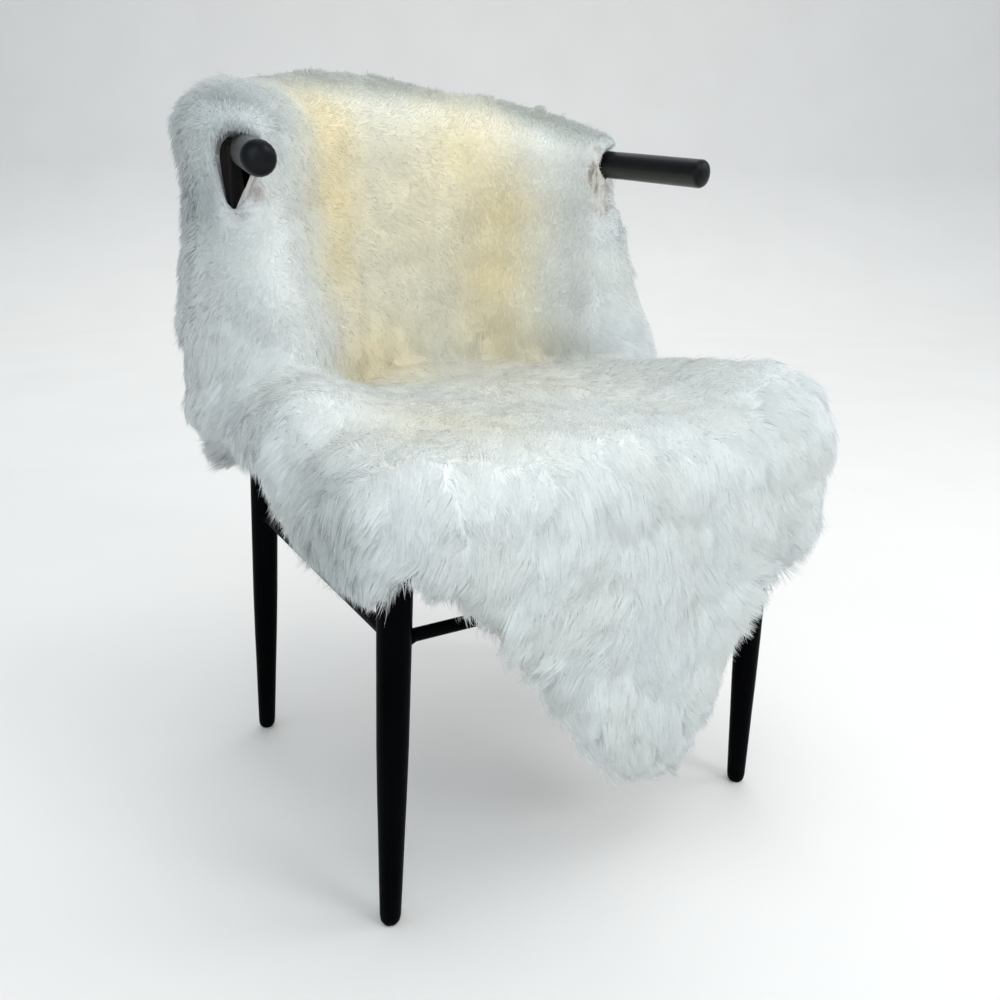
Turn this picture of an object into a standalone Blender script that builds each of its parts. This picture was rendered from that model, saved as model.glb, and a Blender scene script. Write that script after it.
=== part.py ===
"""Sheepskin draped over a plain black armchair, modelled at real size in metres.

The hide lies wool side up on the seat, hangs over its front and sides, and its other half hangs over the
curved top rail, with a cut arm hole at each end of the rail that an arm comes out of. +Z is up, the chair
faces -Y and the origin is on the floor under the middle of the model.
"""

import math
from collections import namedtuple

import bmesh
import bpy
from mathutils import Vector, noise

# Driving dimensions of the chair
GAP = 0.0003
FRONT_FOOT = (0.2500, 0.0)
REAR_FOOT = (0.2325, 0.4446)
FRONT_LEG_LEAN = (-0.0323, -0.0117)
REAR_LEG_LEAN = (-0.0329, -0.0576)
SEAT_TOP = 0.452
SEAT_THICKNESS = 0.022
SEAT_HALF_WIDTH = 0.250
SEAT_FRONT = -0.020
SEAT_BACK = 0.440
SEAT_CORNER = 0.030
SEAT_EDGE_ROUND = 0.007
UNDER_SEAT = SEAT_TOP - SEAT_THICKNESS - GAP
APRON_HEIGHT = 0.044
APRON_THICKNESS = 0.018
STRETCHER_HEIGHT = 0.323
STRETCHER_RADIUS = 0.0068
STRETCHER_FLARE = 0.0088
STRETCHER_FLARE_LENGTH = 0.005
RAIL_RADIUS = 0.01735
RAIL_RISE = 0.0957
RAIL_TIP_HEIGHT = 0.7567
RAIL_END_DEPTH = 0.007
RAIL_END_ANGLES = (20.0, 42.0, 64.0, 90.0)
RAIL_STEPS = 45
SPLINE_SAMPLES = 400
LEG_JOINT_RADIUS = 0.017
JOINT_DEPTH = 0.013
SADDLE_LEAN = (0.462, -0.887)
FACET_SIDES = 20
CORNER_SEGMENTS = 5
EDGE_SEGMENTS = 2
ROUND_PROFILE = 0.5
CREASE_ANGLE = 38.0
STRETCHER_SIDES = 14

# Driving dimensions of the hide
PELT_CLEARANCE = 0.0045
CUT_CLEARANCE = 0.0022
PELT_SINK = 0.001
REAR_OVERRUN = 0.012
REAR_THINNING = 0.042
REAR_THINNED = 0.65
SPINE_FRONT = 0.170
INNER_HEM = SEAT_TOP + 0.026
WOOL_ON_SEAT = 0.055
WOOL_ON_FLAPS = 0.042
WOOL_AT_WING_FOOT = 0.036
WOOL_CREST = 0.045
CREST_FADE = 0.75
CREST_FADE_LENGTH = 0.300
CREST_INNER = 0.120
CORNER_WOOL = 0.014
CORNER_FOCUS = 8
RIGHT_CORNER_SHARE = 0.3
BEND_FULLNESS = 1.5
LOBE_HEIGHT = 0.040
LOBE_SIDE = 0.022
LOBE_FRONT = 0.060
LOBE_INNER = 0.110
LOBE_LIFT = 0.62
LOBE_RISE = 0.120
CELL = 0.023
BACK_STATIONS = 25
INNER_HEM_SHARE = 0.3
OUTER_WOOL_SHARE = 0.40
FULLER_BELOW = (0.08, 0.26)
CORNER_STEPS = 4
SEAT_SHOULDER = 0.018
BAND_HALF_WIDTH = RAIL_RADIUS + PELT_CLEARANCE
BAND_LOWERED = PELT_CLEARANCE + PELT_SINK
LEAN_DROP = 0.25
LUMP_HEIGHT = 0.007
LUMP_SPACING = 0.055
FINE_LUMP_SHARE = 0.5
FINE_LUMP_SCALE = 2.3
TUFT_REACH = 0.020
TUFT_NOTCH = 0.004
HEM_INSET = 0.020
TUFT_VARIETY = 0.006
RIM_DEPTH = 0.72
RIM_REACH = 0.2
LOCK_DEPTH = 0.40
MERGE_DISTANCE = 0.0001
SHORT_SKIRT_ROW = 0.004
HOLE_RADIUS = 0.0235
HOLE_DROP = 0.078
HOLE_OUTWARD = 0.012
HOLE_PLACE = 0.315
RIGHT_HOLE_SHIFT = 0.0125
HOLE_CUT = (0.340, 0.180)
SHORT_HAIR = 0.010
SHORT_HAIR_WIDTH = 0.032
SHORT_INWARD = (-0.012, 0.008)
SHORT_DOWNWARD = (-0.010, 0.014)
HOLE_STEPS = 12
HOLE_ARC = (-0.08, 1.08)
LEFT_END_INSET = 0.020

# Below the left arm the hole in the hide is open outwards; its corners from the arm's centre line
HoleCorner = namedtuple("HoleCorner", "outward over")
LEFT_HOLE_BELOW = (
    HoleCorner(outward=-0.008, over=-0.024),
    HoleCorner(outward=-0.006, over=-0.048),
    HoleCorner(outward=0.090, over=-0.070),
    HoleCorner(outward=0.090, over=-0.010),
)

RailPoint = namedtuple("RailPoint", "across back")
RAIL_HALF_PLAN = (
    RailPoint(across=0.2836, back=0.1723),
    RailPoint(across=0.2485, back=0.3215),
    RailPoint(across=0.2050, back=0.4050),
    RailPoint(across=0.1250, back=0.4620),
    RailPoint(across=0.0000, back=0.4850),
)

LegRing = namedtuple("LegRing", "height diameter")
LEG_PROFILE = (
    LegRing(height=0.000, diameter=0.0150),
    LegRing(height=0.004, diameter=0.0205),
    LegRing(height=0.010, diameter=0.0225),
    LegRing(height=0.050, diameter=0.0248),
    LegRing(height=0.100, diameter=0.0272),
    LegRing(height=0.150, diameter=0.0300),
    LegRing(height=0.210, diameter=0.0325),
    LegRing(height=0.290, diameter=0.0338),
    LegRing(height=0.360, diameter=0.0348),
    LegRing(height=UNDER_SEAT, diameter=0.0355),
)

# The rear leg above the seat: it narrows, then spreads forward under the arm like a saddle
SaddleRing = namedtuple("SaddleRing", "height forward backward thickness")
SADDLE_PROFILE = (
    SaddleRing(height=0.520, forward=0.017, backward=0.017, thickness=0.0340),
    SaddleRing(height=0.600, forward=0.017, backward=0.015, thickness=0.0310),
    SaddleRing(height=0.660, forward=0.024, backward=0.015, thickness=0.0285),
    SaddleRing(height=0.700, forward=0.038, backward=0.016, thickness=0.0270),
    SaddleRing(height=0.730, forward=0.058, backward=0.018, thickness=0.0260),
    SaddleRing(height=0.752, forward=0.084, backward=0.024, thickness=0.0250),
    SaddleRing(height=0.768, forward=0.112, backward=0.036, thickness=0.0245),
)

# Lower edge of the wool round the seat, by place along each side
Hem = namedtuple("Hem", "place height")
LEFT_HEM = (
    Hem(place=0.470, height=0.412),
    Hem(place=0.155, height=0.412),
    Hem(place=0.132, height=0.398),
    Hem(place=0.114, height=0.384),
    Hem(place=0.080, height=0.378),
    Hem(place=0.020, height=0.376),
    Hem(place=-0.016, height=0.376),
    Hem(place=-0.024, height=0.400),
)
FRONT_HEM = (
    Hem(place=-0.240, height=0.404),
    Hem(place=-0.224, height=0.384),
    Hem(place=-0.200, height=0.376),
    Hem(place=-0.170, height=0.342),
    Hem(place=-0.126, height=0.292),
    Hem(place=-0.100, height=0.257),
    Hem(place=-0.082, height=0.233),
    Hem(place=-0.048, height=0.172),
    Hem(place=-0.020, height=0.143),
    Hem(place=0.008, height=0.118),
    Hem(place=0.059, height=0.099),
    Hem(place=0.100, height=0.106),
    Hem(place=0.117, height=0.128),
    Hem(place=0.134, height=0.166),
    Hem(place=0.150, height=0.212),
    Hem(place=0.168, height=0.246),
    Hem(place=0.212, height=0.306),
    Hem(place=0.250, height=0.334),
)
RIGHT_HEM = (
    Hem(place=0.000, height=0.352),
    Hem(place=0.050, height=0.356),
    Hem(place=0.200, height=0.352),
    Hem(place=0.330, height=0.360),
    Hem(place=0.400, height=0.392),
    Hem(place=0.470, height=0.410),
)

# The half that hangs over the rail, from the sitter's right arm round to the left one: the wool's depth on
# top, inside and outside, its outer hem, how far its inner half slumps in towards the seat, how square its
# outer shoulder is and how far it leans out below
BackWool = namedtuple("BackWool", "along over inside outside hem slump shoulder lean", defaults=(0.0,) * 3)
BACK_WOOL = (
    BackWool(along=0.00, over=0.040, inside=0.022, outside=0.060, hem=0.440, slump=0.030, shoulder=0.010),
    BackWool(along=0.10, over=0.054, inside=0.054, outside=0.058, hem=0.440, slump=0.034, shoulder=0.010),
    BackWool(along=0.24, over=0.066, inside=0.062, outside=0.056, hem=0.480, slump=0.026, shoulder=0.006),
    BackWool(along=0.40, over=0.075, inside=0.054, outside=0.048, hem=0.540, slump=0.010),
    BackWool(along=0.55, over=0.072, inside=0.048, outside=0.048, hem=0.556),
    BackWool(along=0.70, over=0.062, inside=0.046, outside=0.046, hem=0.530),
    BackWool(along=0.84, over=0.054, inside=0.040, outside=0.038, hem=0.470, slump=0.006, lean=0.20),
    BackWool(along=0.94, over=0.042, inside=0.028, outside=0.020, hem=0.424, slump=0.006, lean=0.55),
    BackWool(along=1.00, over=0.024, inside=0.016, outside=0.006, hem=0.420, lean=0.95),
)

# Soft troughs where the wool parts: end points, half width and depth
Trough = namedtuple("Trough", "start end width depth")
TROUGHS = (
    Trough(start=(-0.150, 0.385, 0.790), end=(-0.125, 0.395, 0.560), width=0.022, depth=0.010),
    Trough(start=(0.060, 0.430, 0.800), end=(0.115, 0.415, 0.640), width=0.024, depth=0.008),
    Trough(start=(0.115, 0.415, 0.640), end=(0.020, 0.420, 0.540), width=0.024, depth=0.008),
    Trough(start=(-0.275, 0.290, 0.690), end=(-0.330, 0.360, 0.650), width=0.018, depth=0.012),
    Trough(start=(-0.150, 0.330, 0.500), end=(-0.280, 0.260, 0.470), width=0.030, depth=0.014),
    Trough(start=(-0.180, 0.100, 0.500), end=(-0.060, -0.060, 0.440), width=0.025, depth=0.007),
    Trough(start=(0.060, 0.120, 0.500), end=(0.130, -0.070, 0.360), width=0.025, depth=0.007),
    Trough(start=(-0.300, 0.095, 0.460), end=(-0.225, 0.110, 0.522), width=0.020, depth=0.016),
)


def smoothstep(low, high, value):
    t = min(max((value - low) / (high - low), 0.0), 1.0)
    return t * t * (3.0 - 2.0 * t)


def lookup(rows, key, field, value):
    """The table's field at this value of its key column, on straight lines between the rows."""
    rows = sorted(rows, key=lambda row: getattr(row, key))
    for low, high in zip(rows, rows[1:]):
        if value <= getattr(high, key):
            span = getattr(high, key) - getattr(low, key)
            t = max(value - getattr(low, key), 0.0) / span
            return getattr(low, field) * (1.0 - t) + getattr(high, field) * t
    return getattr(rows[-1], field)


def spline_point(points, place):
    """A point of the smooth curve through these points; place runs from 0 to their number less 1."""
    first = min(int(place), len(points) - 2)
    t = place - first
    b, c = points[first], points[first + 1]
    a = points[first - 1] if first > 0 else b + (b - c)
    d = points[first + 2] if first + 2 < len(points) else c + (c - b)
    bend = (2.0 * a - 5.0 * b + 4.0 * c - d) * t**2
    twist = (3.0 * (b - c) + d - a) * t**3
    return 0.5 * (2.0 * b + (c - a) * t + bend + twist)


def even_steps(points, count):
    """The smooth curve through these points, read at this many evenly spaced places."""
    fine = [spline_point(points, (len(points) - 1) * i / SPLINE_SAMPLES) for i in range(SPLINE_SAMPLES + 1)]
    reach = [0.0]
    for here, after in zip(fine, fine[1:]):
        reach.append(reach[-1] + (after - here).length)
    steps, at = [], 0
    for i in range(count):
        target = reach[-1] * i / (count - 1)
        while at < len(fine) - 2 and reach[at + 1] < target:
            at += 1
        t = (target - reach[at]) / (reach[at + 1] - reach[at])
        steps.append(fine[at].lerp(fine[at + 1], min(t, 1.0)))
    return steps


def rail_height(back):
    return RAIL_TIP_HEIGHT + RAIL_RISE * (back - RAIL_HALF_PLAN[0].back)


def rail_points(skip=0):
    """The rail's centre line from the sitter's right to the left, less this many points at each end."""
    half = [Vector((p.across, p.back, rail_height(p.back))) for p in RAIL_HALF_PLAN[skip:]]
    mirrored = [Vector((-p.x, p.y, p.z)) for p in half]
    return mirrored + half[-2::-1]


def material(name, colour, roughness, metallic=0.0):
    made = bpy.data.materials.get(name) or bpy.data.materials.new(name)
    made.use_nodes = True
    shader = made.node_tree.nodes["Principled BSDF"]
    shader.inputs["Base Color"].default_value = (*colour, 1.0)
    shader.inputs["Roughness"].default_value = roughness
    shader.inputs["Metallic"].default_value = metallic
    return made


def black_lacquer():
    return material("black_lacquer", (0.012, 0.013, 0.016), 0.35)


def sheepskin_wool():
    return material("sheepskin_wool", (0.80, 0.78, 0.69), 0.95)


def add_object(name, mesh, finish):
    obj = bpy.data.objects.new(name, mesh)
    bpy.context.scene.collection.objects.link(obj)
    mesh.materials.append(finish)
    mesh.shade_smooth()
    mesh.set_sharp_from_angle(angle=math.radians(CREASE_ANGLE))
    return obj


def as_cutter(obj):
    obj.hide_render = True
    obj.display_type = "WIRE"
    return obj


def boolean(obj, other, operation):
    made = obj.modifiers.new(other.name, "BOOLEAN")
    made.object = other
    made.operation = operation
    made.solver = "EXACT"


def face_outward(builder):
    bmesh.ops.recalc_face_normals(builder, faces=builder.faces)
    if builder.calc_volume(signed=True) < 0.0:
        bmesh.ops.reverse_faces(builder, faces=builder.faces)


def loft(name, rings, finish):
    """A closed body through rings of equally many points, with a flat cap at each end."""
    builder = bmesh.new()
    loops = [[builder.verts.new(point) for point in ring] for ring in rings]
    sides = len(loops[0])
    for low, high in zip(loops, loops[1:]):
        for i in range(sides):
            builder.faces.new((low[i], low[(i + 1) % sides], high[(i + 1) % sides], high[i]))
    builder.faces.new(reversed(loops[0]))
    builder.faces.new(loops[-1])
    face_outward(builder)
    mesh = bpy.data.meshes.new(name)
    builder.to_mesh(mesh)
    builder.free()
    return add_object(name, mesh, finish)


def oval(centre, long_axis, half_length, half_width, sides=FACET_SIDES):
    """A level ring round this centre, with its long axis in this direction."""
    side_axis = Vector((-long_axis.y, long_axis.x, 0.0))
    ring = []
    for i in range(sides):
        angle = 2.0 * math.pi * i / sides
        lengthwise = long_axis * half_length * math.cos(angle)
        ring.append(centre + lengthwise + side_axis * half_width * math.sin(angle))
    return ring


def leg_axis(side, foot, lean, height):
    """The leg's centre at this height; side is -1 for the sitter's right and 1 for the left."""
    return Vector((side * (foot[0] + lean[0] * height), foot[1] + lean[1] * height, height))


def front_leg(name, side, grow=0.0):
    rings = []
    for row in LEG_PROFILE:
        centre = leg_axis(side, FRONT_FOOT, FRONT_LEG_LEAN, row.height)
        rings.append(oval(centre, Vector((1, 0, 0)), row.diameter / 2 + grow, row.diameter / 2 + grow))
    rings[-1] = [point + Vector((0, 0, grow)) for point in rings[-1]]
    return loft(name, rings, black_lacquer())


def rear_leg(name, side, grow=0.0):
    """The rear leg runs on past the seat and spreads under the rail, to which it is shaped."""
    forward = Vector((side * SADDLE_LEAN[0], SADDLE_LEAN[1], 0.0)).normalized()
    rings = []
    for row in LEG_PROFILE:
        centre = leg_axis(side, REAR_FOOT, REAR_LEG_LEAN, row.height)
        rings.append(oval(centre, forward, row.diameter / 2 + grow, row.diameter / 2 + grow))
    for row in SADDLE_PROFILE:
        centre = leg_axis(side, REAR_FOOT, REAR_LEG_LEAN, row.height)
        centre += forward * (row.forward - row.backward) / 2
        half_length = (row.forward + row.backward) / 2
        rings.append(oval(centre, forward, half_length + grow, row.thickness / 2 + grow))
    return loft(name, rings, black_lacquer())


def tube(name, points, radii, finish, sides=FACET_SIDES):
    """A round bar along these points, with a radius for each."""
    rings = []
    for i, point in enumerate(points):
        ahead = points[min(i + 1, len(points) - 1)] - points[max(i - 1, 0)]
        ahead.normalize()
        across = ahead.cross(Vector((0, 0, 1))).normalized()
        upward = across.cross(ahead)
        ring = []
        for k in range(sides):
            angle = 2.0 * math.pi * (k + 0.5) / sides
            ring.append(point + (across * math.cos(angle) + upward * math.sin(angle)) * radii[i])
        rings.append(ring)
    return loft(name, rings, finish)


def top_rail(name, grow=0.0, lower=0.0):
    """The C of the arms and back in one round bar, its two ends rounded."""
    line = [point - Vector((0, 0, lower)) for point in even_steps(rail_points(), RAIL_STEPS)]
    angles = [math.radians(angle) for angle in RAIL_END_ANGLES]
    places = [RAIL_END_DEPTH * (1.0 - math.cos(angle)) for angle in angles]
    first = [line[0].lerp(line[1], place / (line[1] - line[0]).length) for place in places]
    last = [line[-1].lerp(line[-2], place / (line[-1] - line[-2]).length) for place in places]
    points = first + line[1:-1] + last[::-1]
    radii = [RAIL_RADIUS + grow] * len(points)
    for i, angle in enumerate(angles):
        radii[i] = radii[-1 - i] = RAIL_RADIUS * math.sin(angle) + grow
    return tube(name, points, radii, black_lacquer())


def stretcher(name, start, end, leg_cutters):
    """A thin rod that swells a little where it meets each leg."""
    along = (end - start).normalized()
    length = (end - start).length
    tip = LEG_JOINT_RADIUS - JOINT_DEPTH
    flare_end = LEG_JOINT_RADIUS + STRETCHER_FLARE_LENGTH
    first_half = ((tip, STRETCHER_FLARE), (LEG_JOINT_RADIUS, STRETCHER_FLARE), (flare_end, STRETCHER_RADIUS))
    second_half = [(length - place, radius) for place, radius in first_half[::-1]]
    points = [start + along * place for place, radius in [*first_half, *second_half]]
    radii = [radius for place, radius in [*first_half, *second_half]]
    obj = tube(name, points, radii, black_lacquer(), sides=STRETCHER_SIDES)
    for cutter in leg_cutters:
        boolean(obj, cutter, "DIFFERENCE")
    return obj


def round_edges(builder, edges, radius, segments):
    bmesh.ops.bevel(builder, geom=edges, offset=radius, segments=segments, affect="EDGES", profile=ROUND_PROFILE)


def rounded_box(name, low, high, edge, finish, corner=0.0):
    """A box with rounded upright corners and eased top and bottom edges."""
    mesh = bpy.data.meshes.new(name)
    builder = bmesh.new()
    bmesh.ops.create_cube(builder, size=1.0)
    centre = (low + high) / 2
    size = high - low
    for vert in builder.verts:
        vert.co = Vector([centre[k] + vert.co[k] * size[k] for k in range(3)])
    if corner:
        upright = [e for e in builder.edges if abs(e.verts[0].co.z - e.verts[1].co.z) > edge]
        round_edges(builder, upright, corner, CORNER_SEGMENTS)
    level = [e for e in builder.edges if abs(e.verts[0].co.z - e.verts[1].co.z) < GAP]
    round_edges(builder, level, edge, EDGE_SEGMENTS)
    builder.to_mesh(mesh)
    builder.free()
    return add_object(name, mesh, finish)


def seat_panel(leg_cutters):
    low = Vector((-SEAT_HALF_WIDTH, SEAT_FRONT, SEAT_TOP - SEAT_THICKNESS))
    high = Vector((SEAT_HALF_WIDTH, SEAT_BACK, SEAT_TOP))
    obj = rounded_box("seat_panel", low, high, SEAT_EDGE_ROUND, black_lacquer(), SEAT_CORNER)
    for cutter in leg_cutters:
        boolean(obj, cutter, "DIFFERENCE")
    return obj


def apron(name, start, end, leg_cutters):
    """A rail under the seat from leg to leg, between their axes at this height."""
    along = (end - start).normalized()
    across = Vector((-along.y, along.x, 0.0)) * APRON_THICKNESS / 2
    inset = along * APRON_THICKNESS / 3
    corners = (start + inset - across, end - inset - across, end - inset + across, start + inset + across)
    rings = [[Vector((c.x, c.y, z)) for c in corners] for z in (UNDER_SEAT - APRON_HEIGHT, UNDER_SEAT)]
    obj = loft(name, rings, black_lacquer())
    for cutter in leg_cutters:
        boolean(obj, cutter, "DIFFERENCE")
    return obj


def chair():
    """The plain chair that the hide lies on: 4 legs, seat, 4 aprons, 3 stretchers and the top rail."""
    rail_cutter = as_cutter(top_rail("rail_cutter", GAP))
    legs, cutters = {}, {}
    for word, side in (("right", -1), ("left", 1)):
        legs["front_" + word] = front_leg("leg_front_" + word, side)
        legs["rear_" + word] = rear_leg("leg_rear_" + word, side)
        boolean(legs["rear_" + word], rail_cutter, "DIFFERENCE")
        cutters["front_" + word] = as_cutter(front_leg("cutter_front_" + word, side, GAP))
        cutters["rear_" + word] = as_cutter(rear_leg("cutter_rear_" + word, side, GAP))
    top_rail("top_rail")
    seat_panel((cutters["rear_right"], cutters["rear_left"]))

    def axis(word, height):
        side = -1 if word.endswith("right") else 1
        if word.startswith("front"):
            return leg_axis(side, FRONT_FOOT, FRONT_LEG_LEAN, height)
        return leg_axis(side, REAR_FOOT, REAR_LEG_LEAN, height)

    middle = SEAT_TOP - SEAT_THICKNESS - APRON_HEIGHT / 2
    spans = (
        ("front", "front_right", "front_left"),
        ("rear", "rear_right", "rear_left"),
        ("right", "front_right", "rear_right"),
        ("left", "front_left", "rear_left"),
    )
    for word, first, second in spans:
        pair = (cutters[first], cutters[second])
        apron("apron_" + word, axis(first, middle), axis(second, middle), pair)
        if word != "rear":
            start, end = axis(first, STRETCHER_HEIGHT), axis(second, STRETCHER_HEIGHT)
            stretcher("stretcher_" + word, start, end, pair)


def arm_hole_axis(side, back):
    """The middle of the arm hole: the arm's centre line, or a little outside it on the sitter's right."""
    tip, root = RAIL_HALF_PLAN[0], RAIL_HALF_PLAN[1]
    across = tip.across + (root.across - tip.across) * (back - tip.back) / (root.back - tip.back)
    if side < 0:
        across += RIGHT_HOLE_SHIFT
    return Vector((side * across, back, rail_height(back)))


def distance_to_line(point, start, end):
    along = end - start
    t = min(max((point - start).dot(along) / along.length_squared, 0.0), 1.0)
    return (point - start - along * t).length


def shortness(point):
    """How short the hair is here, from 1 beside the inner edge of an arm hole to 0 away from it."""
    most = 0.0
    for side in (-1, 1):
        top = arm_hole_axis(side, HOLE_PLACE)
        low = top + Vector((side * HOLE_OUTWARD, 0.0, -HOLE_DROP))
        away = distance_to_line(point, top, low)
        near = 1.0 - smoothstep(HOLE_RADIUS, HOLE_RADIUS + SHORT_HAIR_WIDTH, away)
        inner = smoothstep(*SHORT_INWARD, side * (top.x - point.x))
        below = smoothstep(*SHORT_DOWNWARD, top.z - point.z)
        most = max(most, near * inner * below)
    return most


def wool_depth(root, normal, depth):
    """How far the wool stands over this point of the hide: lumps, troughs and short hair at the arm holes."""
    depth += LUMP_HEIGHT * noise.noise(root / LUMP_SPACING)
    depth += FINE_LUMP_SHARE * LUMP_HEIGHT * noise.noise(root * FINE_LUMP_SCALE / LUMP_SPACING)
    surface = root + normal * depth
    for trough in TROUGHS:
        away = distance_to_line(surface, Vector(trough.start), Vector(trough.end))
        depth -= trough.depth * math.exp(-((away / trough.width) ** 2))
    return depth + (SHORT_HAIR - depth) * shortness(root)


def drape(name, stations, closed):
    """A slab of wool on its hide, from one half-section for each station round its edge.

    A half-section is a list of (point, outward normal, wool depth) from the ridge to the hem, and each
    station has the same number of them. The hem's last stretch narrows to a lock that points past the hide.
    """
    builder = bmesh.new()
    pelt, wool = [], []
    for i, station in enumerate(stations):
        under, over = [], []
        for point, normal, depth in station:
            under.append(builder.verts.new(point))
            over.append(builder.verts.new(point + normal * wool_depth(point, normal, depth)))
        end, normal, depth = station[-1]
        down = (end - station[-2][0]).normalized()
        reach = HEM_INSET + (TUFT_REACH if i % 2 else TUFT_NOTCH) + TUFT_VARIETY * noise.noise(end / CELL)
        reach *= min((end - station[-2][0]).length / SHORT_SKIRT_ROW, 1.0)
        over[-1].co = end + normal * depth * RIM_DEPTH + down * reach * RIM_REACH
        lock = builder.verts.new(end + down * reach + normal * depth * LOCK_DEPTH)
        pelt.append(under)
        wool.append(over + [lock, under[-1]])
    count = len(stations)
    for i in range(count if closed else count - 1):
        after = (i + 1) % count
        for columns, flip in ((pelt, True), (wool, False)):
            here, there = columns[i], columns[after]
            for j in range(len(here) - 1):
                face = (here[j], here[j + 1], there[j + 1], there[j])
                builder.faces.new(face[::-1] if flip else face)
    if not closed:
        for i, turn in ((0, 1), (count - 1, -1)):
            under, over = pelt[i], wool[i][:-2]
            for j in range(len(under) - 1):
                builder.faces.new((under[j], over[j], over[j + 1], under[j + 1])[::turn])
            builder.faces.new((under[-1], over[-1], wool[i][-2])[::turn])
    bmesh.ops.remove_doubles(builder, verts=builder.verts, dist=MERGE_DISTANCE)
    bmesh.ops.dissolve_degenerate(builder, edges=builder.edges, dist=MERGE_DISTANCE)
    bmesh.ops.triangulate(builder, faces=builder.faces)
    face_outward(builder)
    mesh = bpy.data.meshes.new(name)
    builder.to_mesh(mesh)
    builder.free()
    return add_object(name, mesh, sheepskin_wool())


def seat_edge():
    """Stations round the seat's edge, from its rear right corner by the front to its rear left one."""
    edge = SEAT_HALF_WIDTH + PELT_CLEARANCE
    front = SEAT_FRONT - PELT_CLEARANCE
    back = SEAT_BACK + REAR_OVERRUN
    radius = SEAT_CORNER
    straight = round((back - front - radius) / CELL)
    across = round(2.0 * (edge - radius) / CELL)
    stations = []
    for i in range(straight):
        stations.append((-edge, back + (front + radius - back) * i / straight, -1.0, 0.0))
    for i in range(CORNER_STEPS):
        angle = math.pi * (1.0 + 0.5 * i / CORNER_STEPS)
        across_unit, back_unit = math.cos(angle), math.sin(angle)
        x, y = -edge + radius * (1.0 + across_unit), front + radius * (1.0 + back_unit)
        stations.append((x, y, across_unit, back_unit))
    for i in range(across + 1):
        stations.append((-edge + radius + 2.0 * (edge - radius) * i / across, front, 0.0, -1.0))
    mirrored = [(-x, y, -nx, ny) for x, y, nx, ny in stations[: straight + CORNER_STEPS][::-1]]
    return stations + mirrored


def seat_hem(x, y, outward):
    """Height of the wool's lower edge below this place of the seat's edge."""
    if abs(outward.x) < 0.5:
        return lookup(FRONT_HEM, "place", "height", x)
    return lookup(LEFT_HEM if x < 0 else RIGHT_HEM, "place", "height", y)


def lobe(across, back):
    """How much the wool puffs up here on the sitter's right, where the back half folds into the seat half."""
    inward = smoothstep(LOBE_INNER, SEAT_HALF_WIDTH, -across)
    return inward * smoothstep(LOBE_FRONT, LOBE_FRONT + LOBE_RISE, back)


def wool_on_seat(across, back):
    """The wool stands higher along the seat's edge on the sitter's left, and most of all near its front."""
    fading = 1.0 - CREST_FADE * smoothstep(0.0, CREST_FADE_LENGTH, back)
    crest = WOOL_CREST * fading * smoothstep(CREST_INNER, SEAT_HALF_WIDTH, across)
    return WOOL_ON_SEAT + crest + LOBE_HEIGHT * lobe(across, back)


def seat_stations():
    """Half-sections of the half of the hide that lies on the seat and hangs over its edge."""
    flat_rows, bend_rows, skirt_rows = 7, 3, 9
    pelt_top = SEAT_TOP - PELT_SINK
    stations = []
    for x, y, nx, ny in seat_edge():
        outward = Vector((nx, ny, 0.0))
        corner = Vector((math.copysign(1.0, x), -1.0, 0.0)).normalized().dot(outward) ** CORNER_FOCUS
        hem = seat_hem(x, y, outward) + HEM_INSET
        edge = Vector((x, y, pelt_top))
        spine = Vector((0.0, max(y, SPINE_FRONT), pelt_top))
        rear_end = SEAT_BACK + REAR_OVERRUN
        rear_thinning = 1.0 - REAR_THINNED * smoothstep(rear_end - REAR_THINNING, rear_end, y)
        wool_top = wool_on_seat(x, y) * rear_thinning
        corner_wool = CORNER_WOOL * corner * (1.0 if x > 0 else RIGHT_CORNER_SHARE)
        wool_side = (WOOL_ON_FLAPS + corner_wool) * rear_thinning
        wool_side += LOBE_SIDE * lobe(x, y)
        section = []
        for j in range(flat_rows):
            point = spine.lerp(edge - outward * SEAT_SHOULDER, j / flat_rows)
            section.append((point, Vector((0, 0, 1)), wool_on_seat(point.x, point.y)))
        centre = edge - outward * SEAT_SHOULDER - Vector((0, 0, SEAT_SHOULDER))
        lift = LOBE_LIFT * lobe(x, y)
        for j in range(bend_rows):
            angle = (0.5 * math.pi - lift) * j / bend_rows
            normal = outward * math.sin(angle) + Vector((0, 0, math.cos(angle)))
            depth = wool_side + (wool_top - wool_side) * math.cos(angle) ** BEND_FULLNESS
            section.append((centre + normal * SEAT_SHOULDER, normal, depth))
        sideways = outward * math.cos(lift) + Vector((0, 0, math.sin(lift)))
        for j in range(skirt_rows + 1):
            drop = (centre.z - hem) * j / skirt_rows
            section.append((Vector((x, y, centre.z - drop)), sideways, wool_side))
        stations.append(section)
    return stations


def back_line(count):
    """The rail's centre line from arm hole to arm hole; on the sitter's left the hide ends further back."""
    points = rail_points(skip=1)
    points[-1] += (points[-2] - points[-1]).normalized() * LEFT_END_INSET
    return even_steps(points, count)


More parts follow.
